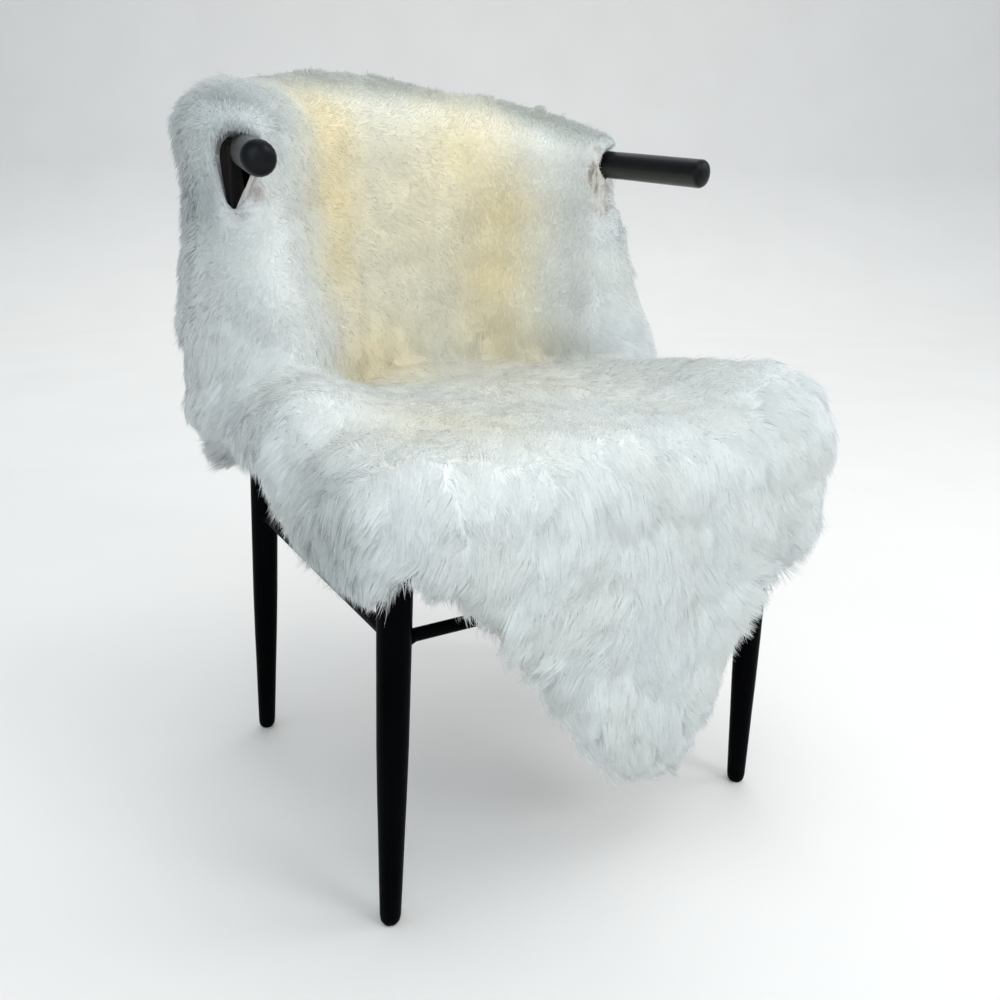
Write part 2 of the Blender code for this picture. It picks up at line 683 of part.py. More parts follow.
def back_station(centre, outward, wool, side_depth, hem, outside=1.0):
    """One half-section of the half of the hide that hangs over the rail."""
    bend_rows, skirt_rows = 4, 10
    shoulder, lean = wool.shoulder * outside, wool.lean * outside
    centre = centre - Vector((0, 0, BAND_LOWERED))
    section = []
    for j in range(bend_rows):
        angle = 0.5 * math.pi * j / bend_rows
        normal = outward * math.sin(angle) + Vector((0, 0, math.cos(angle)))
        depth = wool.over + (side_depth - wool.over) * math.sin(angle) ** 2 + shoulder * math.sin(2.0 * angle)
        section.append((centre + normal * BAND_HALF_WIDTH, normal, depth))
    for j in range(skirt_rows + 1):
        drop = (centre.z - hem - HEM_INSET) * j / skirt_rows
        leaning = lean * min(drop, LEAN_DROP) ** 2
        leaning += wool.slump * (1.0 - outside) * smoothstep(0.0, LEAN_DROP, drop)
        point = centre + outward * (BAND_HALF_WIDTH + leaning) - Vector((0, 0, drop))
        fuller = max(WOOL_AT_WING_FOOT - side_depth, 0.0) * smoothstep(*FULLER_BELOW, drop)
        section.append((point, outward, side_depth + fuller))
    return section


def back_stations():
    """Half-sections round the rail: its inside, round one arm hole, its outside, round the other hole."""
    count = BACK_STATIONS
    line = back_line(count)
    sides = []
    for i, centre in enumerate(line):
        ahead = line[min(i + 1, count - 1)] - line[max(i - 1, 0)]
        outward = Vector((-ahead.y, ahead.x, 0.0)).normalized()
        along = i / (count - 1)
        row = BackWool(along, *(lookup(BACK_WOOL, "along", field, along) for field in BackWool._fields[1:]))
        sides.append((centre, outward, row))
    stations = [back_station(c, -o, row, row.inside, INNER_HEM, 0.0) for c, o, row in sides[::-1]]
    stations += round_end(sides[0], -1)
    stations += [back_station(c, o, row, row.outside, row.hem) for c, o, row in sides]
    stations += round_end(sides[-1], 1)
    return stations


def round_end(side, turn):
    """Half-sections that carry the hide round the front of a rear leg, under the arm."""
    centre, outward, row = side
    steps = 6
    stations = []
    for i in range(1, steps):
        share = i / steps
        if turn > 0:
            share = 1.0 - share
        angle = math.atan2(-outward.y, -outward.x) + turn * math.pi * share
        heading = Vector((math.cos(angle), math.sin(angle), 0.0))
        depth = row.inside + (row.outside - row.inside) * smoothstep(OUTER_WOOL_SHARE, 1.0, share)
        hem = INNER_HEM if share < INNER_HEM_SHARE else row.hem
        stations.append(back_station(centre, heading, row, depth, hem, share))
    return stations


def hole_cutter(side):
    """A prism round the arm: drop-shaped on the sitter's right, and open outwards below on the left."""
    below = LEFT_HOLE_BELOW if side > 0 else [HoleCorner(outward=HOLE_OUTWARD, over=-HOLE_DROP)]
    rings = []
    for back in HOLE_CUT:
        centre = arm_hole_axis(side, back)
        ring = []
        for i in range(HOLE_STEPS + 1):
            angle = math.pi * (HOLE_ARC[0] + (HOLE_ARC[1] - HOLE_ARC[0]) * i / HOLE_STEPS)
            ring.append(centre + Vector((math.cos(angle), 0.0, math.sin(angle))) * HOLE_RADIUS)
        ring += [centre + Vector((side * corner.outward, 0.0, corner.over)) for corner in below]
        rings.append(ring)
    return as_cutter(loft("hole_cutter_" + ("left" if side > 0 else "right"), rings, sheepskin_wool()))


def seat_clearance():
    """The room of the seat and its aprons: the hide lies on the seat's top and clears its edges."""
    below = UNDER_SEAT - 2.0 * APRON_HEIGHT
    low = Vector((-SEAT_HALF_WIDTH, SEAT_FRONT, below)) - Vector((1, 1, 0)) * CUT_CLEARANCE
    high = Vector((SEAT_HALF_WIDTH, SEAT_BACK, SEAT_TOP + GAP)) + Vector((1, 1, 0)) * CUT_CLEARANCE
    return as_cutter(rounded_box("seat_clearance", low, high, SEAT_EDGE_ROUND, black_lacquer(), SEAT_CORNER))


def sheepskin():
    """The whole hide as one solid: the half on the seat and the half over the rail, grown together."""
    obj = drape("sheepskin", seat_stations(), closed=False)
    back_half = as_cutter(drape("back_half", back_stations(), closed=True))
    boolean(obj, back_half, "UNION")
    boolean(obj, seat_clearance(), "DIFFERENCE")
    for word, side in (("right", -1), ("left", 1)):
        boolean(obj, as_cutter(rear_leg("clearance_rear_" + word, side, CUT_CLEARANCE)), "DIFFERENCE")
        boolean(obj, as_cutter(front_leg("clearance_front_" + word, side, CUT_CLEARANCE)), "DIFFERENCE")
        boolean(obj, hole_cutter(side), "DIFFERENCE")
    rail_room = top_rail("clearance_rail", CUT_CLEARANCE, lower=CUT_CLEARANCE - GAP)
    boolean(obj, as_cutter(rail_room), "DIFFERENCE")
    return obj


def stand_on_origin():
    """Hangs everything from one empty, moved so that the origin is on the floor under the model's middle."""
    bpy.context.view_layer.update()
    graph = bpy.context.evaluated_depsgraph_get()
    corners = []
    for obj in bpy.data.objects:
        if not obj.hide_render:
            corners += [Vector(corner) for corner in obj.evaluated_get(graph).bound_box]
    middle = [(min(c[k] for c in corners) + max(c[k] for c in corners)) / 2 for k in range(2)]
    root = bpy.data.objects.new("floor_origin", None)
    bpy.context.scene.collection.objects.link(root)
    root.location = (-middle[0], -middle[1], -min(c.z for c in corners))
    for obj in list(bpy.data.objects):
        if obj != root:
            obj.parent = root


def main():
    for old in list(bpy.data.objects):
        bpy.data.objects.remove(old, do_unlink=True)
    chair()
    sheepskin()
    stand_on_origin()


main()
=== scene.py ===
"""Looks of the sheepskin and the armchair that carries it: wool locks, suede pelt, lacquered wood, light."""

import math
from collections import namedtuple

import bmesh
import bpy
import numpy as np
from mathutils import Matrix, Vector, noise
from mathutils.bvhtree import BVHTree
from mathutils.kdtree import KDTree


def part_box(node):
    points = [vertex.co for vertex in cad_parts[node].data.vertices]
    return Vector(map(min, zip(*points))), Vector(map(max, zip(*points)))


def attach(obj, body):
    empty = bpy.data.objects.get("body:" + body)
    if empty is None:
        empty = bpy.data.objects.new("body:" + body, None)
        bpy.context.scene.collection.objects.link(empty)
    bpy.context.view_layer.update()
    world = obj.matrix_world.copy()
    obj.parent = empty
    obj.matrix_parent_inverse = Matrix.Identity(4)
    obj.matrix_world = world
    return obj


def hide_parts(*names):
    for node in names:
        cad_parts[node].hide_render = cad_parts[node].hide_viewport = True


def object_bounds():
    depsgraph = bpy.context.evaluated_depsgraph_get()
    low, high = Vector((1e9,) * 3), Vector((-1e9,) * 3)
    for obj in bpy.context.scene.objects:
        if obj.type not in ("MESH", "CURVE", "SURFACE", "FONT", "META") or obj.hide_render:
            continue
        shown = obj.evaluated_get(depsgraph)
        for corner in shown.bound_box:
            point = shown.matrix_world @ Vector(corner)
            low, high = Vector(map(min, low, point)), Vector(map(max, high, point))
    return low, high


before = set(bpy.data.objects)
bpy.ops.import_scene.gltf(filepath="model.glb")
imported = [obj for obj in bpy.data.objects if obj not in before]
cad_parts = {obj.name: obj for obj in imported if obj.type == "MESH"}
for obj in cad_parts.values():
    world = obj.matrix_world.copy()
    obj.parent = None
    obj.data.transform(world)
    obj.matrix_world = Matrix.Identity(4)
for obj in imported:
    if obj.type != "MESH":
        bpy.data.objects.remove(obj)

CAD_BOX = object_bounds()

# The chair's own frame: its origin is on the floor, midway between the front feet
SEAT_LOW, SEAT_HIGH = (np.array(corner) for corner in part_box("seat_panel"))
SEAT_FRONT_OVERHANG = 0.020
CHAIR = np.array([(SEAT_LOW[0] + SEAT_HIGH[0]) / 2, SEAT_LOW[1] + SEAT_FRONT_OVERHANG, 0.0])
SEAT_TOP = SEAT_HIGH[2]
SEAT_MIDDLE_BACK = 0.250
RAIL_HALF_PLAN = ((0.2485, 0.3215), (0.2050, 0.4050), (0.1250, 0.4620), (0.0000, 0.4850))
RAIL_TIP_BACK, RAIL_TIP_HEIGHT, RAIL_RISE = 0.1723, 0.7567, 0.0957
ARM_HOLES = ((-0.2625, 0.3150, 0.7704), (0.2500, 0.3150, 0.7704))
ARM_HOLE_DROP = 0.078

# Which faces of the hide are its skin side, and which are the cut edge of an arm hole
SEAT_MARGIN = 0.003
SKIN_FACING = 0.35
SKIN_REACH = 0.11
HOLE_WALL_REACH = 0.046
HOLE_WALL_DEPTH = 0.060
HOLE_WALL_TILT = 0.60
WELD_DISTANCE = 0.00002
BLOCK_OF_POINTS = 20000

# Wool
VOXEL = 0.0068
BODY_SMOOTHING = 9
BODY_INSET = 0.011
BODY_INSET_SHARE = 0.34
CROPPED_INSET = 0.85
RAY_START = 0.002
RAY_LENGTH = 0.2
THIN_WOOL = 0.01
PELT_THICKNESS = 0.0016
PELT_ROOM = 0.0026
PELT_TRIM_BELOW = 0.415
PELT_TRIM_ROWS = 1
WALL_FULLNESS = 0.002
SMALLEST_ISLAND = 300
# Painted shade on the suede near the arm holes: darkest within the first distance, gone past the second, and
# its darkest share
SHADE_NEAR, SHADE_FAR = 0.055, 0.110
DARKEST_SKIN_SHADE = 0.10
STRANDS = 395000
STRAND_PIECES = 4
STRAND_WIDTH = 0.0010
SMALL_LOCK_SPACING = 0.0100
BIG_LOCK_SPACING = 0.038
RIM_ROOM = 0.009
BOX_ROOM = 0.014
BOX_SHARE = 0.60
TUFT_HEIGHT = 0.0035
TUFT_SPACING = 0.038
PANEL_TUFTS = 0.75
DEEPEST_TUFT = 0.6
SEED = 11

# How a strand rises and leans: its height over the underwool, its reach along it and its shape
PROUD_LEAST, PROUD_MORE, PROUD_STRAY, PROUD_PANEL = 0.003, 0.003, 0.004, 0.4
REACH, REACH_PLUSH, REACH_PANEL = 0.021, 0.011, 0.004
FULL_ROOM, LEAST_ROOM = 0.008, 0.35
CROPPED_FROM, CROPPED_HEIGHT, CROPPED_REACH = 0.1, 0.6, 0.7
REACH_FROM, REACH_SPREAD = 0.75, 0.5
STEPS = np.array([0.0, 0.55, 1.0])
RISE_POWER, RUN_POWER, PULL_POWER = 0.9, 1.3, 1.5
SAG = 0.18
STRAYS = 0.05
WIDTH_FROM, WIDTH_SPREAD, STRAY_WIDTH = 0.7, 0.6, 0.35
SPIN = 0.6

# How the strands turn and differ: the swirls are given as strength, spacing and offset
SWIRLS = ((0.60, 0.10, 3.0), (0.30, 0.04, 8.0))
SWIRL_TURN = 1.2
TURN_BIG, TURN_SMALL, TURN_PANEL = 0.22, 0.10, 0.4
TURN_STRAND, TURN_PLUSH = 0.22, 0.3
SIZE_SMALL, SIZE_BIG = 0.14, 0.12
PLUSH_LOW, PLUSH_HIGH, PLUSH_SHARE = 0.50, 0.62, 0.75
LOCK_FACING, LOCK_REACH = 0.6, 1.6
BIG_PULL, BIG_KEEP = 0.40, 0.62
SMALL_PULL, SMALL_KEEP = 0.14, 0.30
LOOSE_PLUSH, LOOSE_STRAY = 0.8, 0.6
ROUND_LIMIT, ROUND_SHARE, NORMAL_SPREAD = 0.8, 0.30, 0.04
TONE_BIG, TONE_SMALL, TONE_STRAND = 0.016, 0.010, 0.010
CREAM_MIDDLE, CREAM_SWING, CREAM_SPACING, CREAM_OFFSET, CREAM_SHARE = 0.5, 0.9, 0.07, 5.0, 0.06
BRIGHTEST = 0.97

# The camera stands to the sitter's front right and looks a little down
Camera = namedtuple("Camera", "place azimuth pitch roll lens sensor shift")
CAMERA = Camera(
    place=(-0.58825, -0.74568, 0.71709),
    azimuth=-31.99,
    pitch=17.39,
    roll=-0.65,
    lens=33.96,
    sensor=36.0,
    shift=(0.0017, 0.0009),
)

# Where the wool is warmer, greyer as painted shade, browner or barer: a middle in the chair's frame, a reach
# in metres and a strength
Zone = namedtuple("Zone", "middle reach strength")
WARM_ZONES = (
    Zone(middle=(0.000, 0.420, 0.700), reach=0.170, strength=0.50),
    Zone(middle=(-0.125, 0.377, 0.811), reach=0.055, strength=0.70),
    Zone(middle=(-0.128, 0.360, 0.732), reach=0.050, strength=0.75),
    Zone(middle=(-0.130, 0.348, 0.652), reach=0.050, strength=0.65),
    Zone(middle=(0.083, 0.411, 0.787), reach=0.060, strength=0.55),
    Zone(middle=(0.121, 0.393, 0.711), reach=0.050, strength=0.70),
    Zone(middle=(0.115, 0.396, 0.632), reach=0.050, strength=0.70),
    Zone(middle=(0.100, 0.387, 0.564), reach=0.055, strength=0.60),
    Zone(middle=(-0.056, 0.395, 0.520), reach=0.075, strength=0.50),
    Zone(middle=(-0.110, 0.340, 0.540), reach=0.060, strength=0.45),
    Zone(middle=(0.147, 0.377, 0.507), reach=0.060, strength=0.35),
    Zone(middle=(-0.126, 0.090, 0.505), reach=0.090, strength=0.22),
    Zone(middle=(0.060, 0.230, 0.505), reach=0.090, strength=0.16),
)
# Painted shade: zones where the wool is painted greyer to stand for shade, as on the wing's edge, the low
# left, the seat's right rim and about the arm holes
PAINTED_SHADE_ZONES = (
    Zone(middle=(-0.320, 0.310, 0.714), reach=0.050, strength=0.60),
    Zone(middle=(-0.275, 0.290, 0.825), reach=0.050, strength=0.60),
    Zone(middle=(-0.300, 0.330, 0.850), reach=0.060, strength=0.45),
    Zone(middle=(-0.225, 0.330, 0.850), reach=0.050, strength=0.25),
    Zone(middle=(0.290, 0.160, 0.530), reach=0.080, strength=0.45),
    Zone(middle=(-0.296, 0.028, 0.410), reach=0.060, strength=0.35),
    Zone(middle=(0.238, 0.309, 0.800), reach=0.016, strength=0.70),
)
BROWN_ZONES = (
    Zone(middle=(-0.249, 0.289, 0.728), reach=0.009, strength=0.75),
    Zone(middle=(-0.268, 0.289, 0.704), reach=0.008, strength=0.60),
)
# The strip beside the left arm hole with hair so short and thin that the hide's brown shows through
BARE_ZONES = (
    Zone(middle=(0.220, 0.314, 0.782), reach=0.016, strength=0.70),
    Zone(middle=(0.222, 0.313, 0.760), reach=0.016, strength=0.80),
    Zone(middle=(0.226, 0.311, 0.738), reach=0.015, strength=0.80),
    Zone(middle=(0.231, 0.309, 0.716), reach=0.012, strength=0.70),
)
# Where the hair is cropped: along a line in the chair's frame, in full within one reach and fading to another
Crop = namedtuple("Crop", "start end inner outer")
CROPS = (
    Crop(start=(-0.2625, 0.3150, 0.785), end=(-0.2625, 0.3150, 0.700), inner=0.016, outer=0.036),
    Crop(start=(0.2500, 0.3150, 0.785), end=(0.2500, 0.3150, 0.720), inner=0.016, outer=0.036),
    Crop(start=(0.2150, 0.3150, 0.785), end=(0.2310, 0.3070, 0.700), inner=0.012, outer=0.026),
)
# Where the wool is combed another way: a middle in the chair's frame, a reach and the direction
Comb = namedtuple("Comb", "middle reach heading")
COMBS = (
    Comb(middle=(-0.300, 0.300, 0.640), reach=0.120, heading=(-0.70, 0.30, -0.80)),
    Comb(middle=(-0.310, 0.270, 0.480), reach=0.080, heading=(-0.80, 0.10, -0.60)),
    Comb(middle=(-0.280, 0.090, 0.440), reach=0.070, heading=(-0.60, 0.10, -0.90)),
    Comb(middle=(-0.270, -0.010, 0.400), reach=0.060, heading=(-0.30, 0.20, -1.20)),
    Comb(middle=(-0.070, -0.070, 0.300), reach=0.070, heading=(-0.90, -0.20, -0.90)),
    Comb(middle=(0.140, -0.070, 0.200), reach=0.070, heading=(0.80, -0.20, -1.00)),
    Comb(middle=(0.190, -0.060, 0.300), reach=0.060, heading=(1.00, -0.20, -0.80)),
    Comb(middle=(0.290, 0.030, 0.450), reach=0.090, heading=(0.80, -0.30, -0.50)),
    Comb(middle=(0.020, 0.120, 0.510), reach=0.100, heading=(-1.00, -0.70, 0.00)),
    Comb(middle=(-0.100, 0.180, 0.510), reach=0.090, heading=(-1.00, -0.20, 0.00)),
    Comb(middle=(0.150, 0.160, 0.520), reach=0.090, heading=(0.70, -0.90, 0.00)),
)
WOOL_WHITE = np.array([0.828, 0.846, 0.848])
WOOL_WARM = np.array([0.895, 0.805, 0.565])
# The grey and the crest's colour below are painted shade
WOOL_PAINTED_SHADE = np.array([0.470, 0.515, 0.530])
WOOL_CREST_SHADE = np.array([0.450, 0.485, 0.465])
WOOL_BROWN = np.array([0.330, 0.260, 0.220])
WOOL_BARE = np.array([0.730, 0.710, 0.665])
WOOL_STREAK = np.array([0.200, 0.100, 0.055])

# The crest painted greyer as shade, the inner side of the back painted lighter as light, and the streaks of
# the bare strip
CREST_SHADE_SHARE, CREST_LOW, CREST_HIGH = 0.60, 0.834, 0.864
CREST_DROP, CREST_DROP_START, CREST_DROP_END = 0.05, 0.10, 0.22
BACK_PAINTED_LIGHT = 0.09
BACK_RISE, BACK_RIGHT, BACK_LEFT, BACK_DEPTH = (0.50, 0.58), (-0.20, -0.12), (0.24, 0.18), (0.26, 0.32)
STREAK_STRETCH = np.array([1.0, 1.0, 0.16])
STREAK_SPACING, STREAK_OFFSET, STREAK_FULL, STREAK_SHARE = 0.0032, 4.0, 0.30, 0.82
STREAK_MORE, STREAK_MORE_TOP, STREAK_MORE_LOW = 0.05, 0.760, 0.725

# The smooth panel between the back's wings: where it rises from the seat, its sides and its tilt
PANEL_RISE, PANEL_RIGHT, PANEL_LEFT, PANEL_TILT = (0.52, 0.58), (-0.21, -0.15), (0.24, 0.19), 0.15

# How the wool is combed on the seat, and where a comb is too weak to show
SEAT_OUTWARD = 1.3
SEAT_WOOL_LOW, SEAT_WOOL_HIGH = 0.54, 0.60
COMB_STRENGTH = 2.0
WEAK_COMB = 0.12

# The suede and its cut edge, the two lacquers (the rail's with a painted reflection of the wool on its lower
# side), and the paper with painted shade where it rises
SUEDE_DARK, SUEDE_LIGHT = (0.16, 0.115, 0.095), (0.34, 0.27, 0.225)
CUT_EDGE_DARK, CUT_EDGE_LIGHT = (0.62, 0.55, 0.50), (0.78, 0.73, 0.68)
Lacquer = namedtuple("Lacquer", "name dark light rough gloss under")
LEG_LACQUER = Lacquer(
    name="satin_black_lacquer",
    dark=(0.0006, 0.0007, 0.0010),
    light=(0.0016, 0.0018, 0.0024),
    rough=(0.26, 0.40),
    gloss=0.02,
    under=None,
)
RAIL_LACQUER = Lacquer(
    name="rail_black_lacquer",
    dark=(0.0012, 0.0015, 0.0024),
    light=(0.0026, 0.0032, 0.0046),
    rough=(0.26, 0.34),
    gloss=0.28,
    under=(0.052, 0.056, 0.050),
)
ROUNDING = 0.006
ROUNDING_SAMPLES = 6
# Where the rail's painted reflection shows: the ranges of its normal's height and of its side
LOWER_SIDE = (0.05, -0.65)
LONG_SIDE = (-0.70, -0.35)
PAPER_DARK, PAPER_LIGHT = (0.920, 0.880, 0.840), (0.945, 0.905, 0.865)
PAPER_RISEN_SHADE = (0.80, 0.805, 0.81)

# The paper sweep behind the chair, and the studio's lights in the chair's frame
SWEEP_START, SWEEP_RADIUS, SWEEP_STEPS, SWEEP_FIRST_STEP = 4.5, 2.5, 12, 0.1
SWEEP_FRONT, SWEEP_TOP, SWEEP_HALF_WIDTH = -4.0, 6.0, 9.0
MIDDLE = (0.0, 0.2, 0.45)
SKY_COLOUR, SKY_STRENGTH = (0.82, 0.92, 1.0, 1.0), 0.70
Light = namedtuple("Light", "name place target size power colour")
LIGHTS = (
    Light("overhead", (0.2, -0.3, 3.2), MIDDLE, 2.0, 18.0, (1.0, 0.99, 0.97)),
    Light("front", (-1.4, -2.4, 1.1), MIDDLE, 1.8, 17.0, (0.88, 0.96, 1.0)),
    Light("front_right", (1.0, -2.4, 2.2), MIDDLE, 1.2, 20.0, (0.94, 0.98, 1.0)),
    Light("key", (2.7, -1.3, 1.9), MIDDLE, 1.5, 13.0, (1.0, 1.0, 1.0)),
    Light("left", (-3.0, 0.6, 1.2), MIDDLE, 1.5, 4.0, (0.90, 0.96, 1.0)),
    Light("backdrop", (3.0, 4.8, 5.0), (3.0, 4.8, 0.0), 8.0, 150.0, (1.0, 0.99, 0.98)),
)


def smoothstep(low, high, value):
    t = np.clip((value - low) / (high - low), 0.0, 1.0)
    return t * t * (3.0 - 2.0 * t)


def unit(vectors):
    return vectors / np.maximum(np.linalg.norm(vectors, axis=-1, keepdims=True), 1e-9)


def dots(a, b):
    return (a * b).sum(axis=-1, keepdims=True)


def in_chair(points):
    return np.asarray(points) - CHAIR


# Materials
def new_material(name, roughness):
    made = bpy.data.materials.new(name)
    made.use_nodes = True
    shader = made.node_tree.nodes["Principled BSDF"]
    shader.inputs["Roughness"].default_value = roughness
    return made, made.node_tree.nodes, made.node_tree.links, shader


def object_noise(nodes, links, scale, detail, stretch=(1.0, 1.0, 1.0)):
    place = nodes.new("ShaderNodeTexCoord")
    mapping = nodes.new("ShaderNodeMapping")
    mapping.inputs["Scale"].default_value = stretch
    made = nodes.new("ShaderNodeTexNoise")
    made.inputs["Scale"].default_value = scale
    made.inputs["Detail"].default_value = detail
    links.new(place.outputs["Object"], mapping.inputs["Vector"])
    links.new(mapping.outputs["Vector"], made.inputs["Vector"])
    return made


def ramp(nodes, links, source, low, high, start=0.3, end=0.7):
    made = nodes.new("ShaderNodeValToRGB")
    made.color_ramp.elements[0].position = start
    made.color_ramp.elements[1].position = end
    made.color_ramp.elements[0].color = (*low, 1.0)
    made.color_ramp.elements[1].color = (*high, 1.0)
    links.new(source, made.inputs["Fac"])
    return made.outputs["Color"]


def add_bump(nodes, links, shader, source, distance, strength):
    made = nodes.new("ShaderNodeBump")
    made.inputs["Distance"].default_value = distance
    made.inputs["Strength"].default_value = strength
    links.new(source, made.inputs["Height"])
    links.new(made.outputs["Normal"], shader.inputs["Normal"])
    return made


def multiplied(nodes, links, first, second):
    """The product of two colours."""
    mix = nodes.new("ShaderNodeMix")
    mix.data_type = "RGBA"
    mix.blend_type = "MULTIPLY"
    mix.inputs["Factor"].default_value = 1.0
    links.new(first, mix.inputs["A"])
    links.new(second, mix.inputs["B"])
    return mix.outputs["Result"]


def times_tint(nodes, links, colour):
    """The colour times the tint that the mesh carries, which holds painted shade and painted light as well as
    colour.
    """
    tint = nodes.new("ShaderNodeVertexColor")
    tint.layer_name = "tint"
    return multiplied(nodes, links, tint.outputs["Color"], colour)


def wool_material(name, fine_scale, bump, through):
    """Wool: its colour from the tint on the mesh, and this share of the light coming through it."""
    made, nodes, links, shader = new_material(name, 0.92)
    shader.inputs["Specular IOR Level"].default_value = 0.15
    shader.inputs["Sheen Weight"].default_value = 0.25
    shader.inputs["Sheen Roughness"].default_value = 0.6
    fine = object_noise(nodes, links, fine_scale, 3.0)
    shade = ramp(nodes, links, fine.outputs["Fac"], (0.93, 0.93, 0.92), (1.0, 1.0, 1.0))
    colour = times_tint(nodes, links, shade)
    links.new(colour, shader.inputs["Base Color"])
    if bump:
        add_bump(nodes, links, shader, fine.outputs["Fac"], bump, 0.6)
    if through:
        glow = nodes.new("ShaderNodeBsdfTranslucent")
        both = nodes.new("ShaderNodeMixShader")
        both.inputs["Fac"].default_value = through
        links.new(colour, glow.inputs["Color"])
        links.new(shader.outputs["BSDF"], both.inputs[1])
        links.new(glow.outputs["BSDF"], both.inputs[2])
        links.new(both.outputs["Shader"], nodes["Material Output"].inputs["Surface"])
    return made


def suede_material(name, dark, light, shaded):
    made, nodes, links, shader = new_material(name, 0.95)
    shader.inputs["Sheen Weight"].default_value = 0.2
    cloud = object_noise(nodes, links, 14.0, 5.0)
    grain = object_noise(nodes, links, 420.0, 3.0)
    colour = ramp(nodes, links, cloud.outputs["Fac"], dark, light)
    links.new(times_tint(nodes, links, colour) if shaded else colour, shader.inputs["Base Color"])
    add_bump(nodes, links, shader, grain.outputs["Fac"], 0.0008, 0.5)
    return made


def mapped(nodes, links, source, start, end):
    """0 where the source is at start, 1 where it is at end."""
    made = nodes.new("ShaderNodeMapRange")
    made.inputs["From Min"].default_value = start
    made.inputs["From Max"].default_value = end
    links.new(source, made.inputs["Value"])
    return made.outputs["Result"]


def lacquer_material(name, dark, light, rough, gloss, under):
    """Black lacquer, its facets rounded; its lower side may carry a lighter colour, a painted reflection of
    the wool below.
    """
    made, nodes, links, shader = new_material(name, 0.3)
    shader.inputs["Specular IOR Level"].default_value = gloss
    shader.inputs["IOR"].default_value = 1.35
    cloud = object_noise(nodes, links, 9.0, 4.0)
    grain = object_noise(nodes, links, 260.0, 4.0, stretch=(1.0, 1.0, 0.06))
    colour = ramp(nodes, links, cloud.outputs["Fac"], dark, light)
    rounded = nodes.new("ShaderNodeBevel")
    rounded.samples = ROUNDING_SAMPLES
    rounded.inputs["Radius"].default_value = ROUNDING
    # Painted reflection: the lower long side is painted lighter, as if it reflected the wool
    if under:
        parts = nodes.new("ShaderNodeSeparateXYZ")
        links.new(rounded.outputs["Normal"], parts.inputs["Vector"])
        below = mapped(nodes, links, parts.outputs["Z"], *LOWER_SIDE)
        aside = mapped(nodes, links, parts.outputs["Y"], *LONG_SIDE)
        both = nodes.new("ShaderNodeMath")
        both.operation = "MULTIPLY"
        links.new(below, both.inputs[0])
        links.new(aside, both.inputs[1])
        mix = nodes.new("ShaderNodeMix")
        mix.data_type = "RGBA"
        mix.inputs["B"].default_value = (*under, 1.0)
        links.new(both.outputs["Value"], mix.inputs["Factor"])
        links.new(colour, mix.inputs["A"])
        colour = mix.outputs["Result"]
    links.new(colour, shader.inputs["Base Color"])
    roughness = ramp(nodes, links, cloud.outputs["Fac"], (rough[0],) * 3, (rough[1],) * 3)
    links.new(roughness, shader.inputs["Roughness"])
    bump = add_bump(nodes, links, shader, grain.outputs["Fac"], 0.0003, 0.25)
    links.new(rounded.outputs["Normal"], bump.inputs["Normal"])
    return made


def floor_material():
    """Pale paper, with painted shade that darkens it where it rises behind the chair."""
    made, nodes, links, shader = new_material("pale_paper", 0.75)
    cloud = object_noise(nodes, links, 2.5, 3.0)
    colour = ramp(nodes, links, cloud.outputs["Fac"], PAPER_DARK, PAPER_LIGHT)
    place = nodes.new("ShaderNodeTexCoord")
    parts = nodes.new("ShaderNodeSeparateXYZ")
    links.new(place.outputs["Object"], parts.inputs["Vector"])
    # Painted shade: darker the higher the paper rises
    rise = ramp(nodes, links, parts.outputs["Z"], (1.0, 1.0, 1.0), PAPER_RISEN_SHADE, start=0.0, end=1.0)
    links.new(multiplied(nodes, links, rise, colour), shader.inputs["Base Color"])
    return made


# Geometry helpers
def add_object(name, mesh, finish):
    obj = bpy.data.objects.new(name, mesh)
    bpy.context.scene.collection.objects.link(obj)
    mesh.materials.clear()
    mesh.materials.append(finish)
    return obj


def vectors(items, attribute):
    values = np.empty(len(items) * 3, np.float32)
    items.foreach_get(attribute, values)
    return values.reshape(-1, 3).astype(np.float64)


def packed_mesh(node):
    """The node's mesh as one closed body, its split points joined again."""
    builder = bmesh.new()
    builder.from_mesh(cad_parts[node].data)
    bmesh.ops.remove_doubles(builder, verts=builder.verts, dist=WELD_DISTANCE)
    mesh = bpy.data.meshes.new(node + "_closed")
    builder.to_mesh(mesh)
    builder.free()
    return mesh


def evaluated_mesh(obj):
    graph = bpy.context.evaluated_depsgraph_get()
    return bpy.data.meshes.new_from_object(obj.evaluated_get(graph))


def smooth_over(values, edges, times):
    """The values spread over the mesh: each takes the mean of itself and its neighbours, time after time."""
    values = values.copy()
    count = len(values)
    shared = 1.0 + np.bincount(edges.ravel(), minlength=count)
    columns = values.reshape(count, -1)
    for _ in range(times):
        for k in range(columns.shape[1]):
            column = columns[:, k]
            near = np.bincount(edges[:, 0], column[edges[:, 1]], count)
            near += np.bincount(edges[:, 1], column[edges[:, 0]], count)
            columns[:, k] = (column + near) / shared
    return values


def rail_line(steps=20):
    """The rail's centre line between the arm holes, as points in the row frame."""
    half = [np.array([-across, back]) for across, back in RAIL_HALF_PLAN]
    plan = half + [point * (-1.0, 1.0) for point in half[-2::-1]]
    points = []
    for i in range(len(plan) - 1):
        before = plan[i - 1] if i else 2 * plan[0] - plan[1]
        after = plan[i + 2] if i + 2 < len(plan) else 2 * plan[-1] - plan[-2]
        for k in range(steps):
            t = k / steps
            bend = (2 * before - 5 * plan[i] + 4 * plan[i + 1] - after) * t**2
            twist = (3 * (plan[i] - plan[i + 1]) + after - before) * t**3
            points.append(0.5 * (2 * plan[i] + (plan[i + 1] - before) * t + bend + twist))
    points = np.array(points)
    heights = RAIL_TIP_HEIGHT + RAIL_RISE * (points[:, 1] - RAIL_TIP_BACK)
    return np.column_stack([points, heights]) + CHAIR


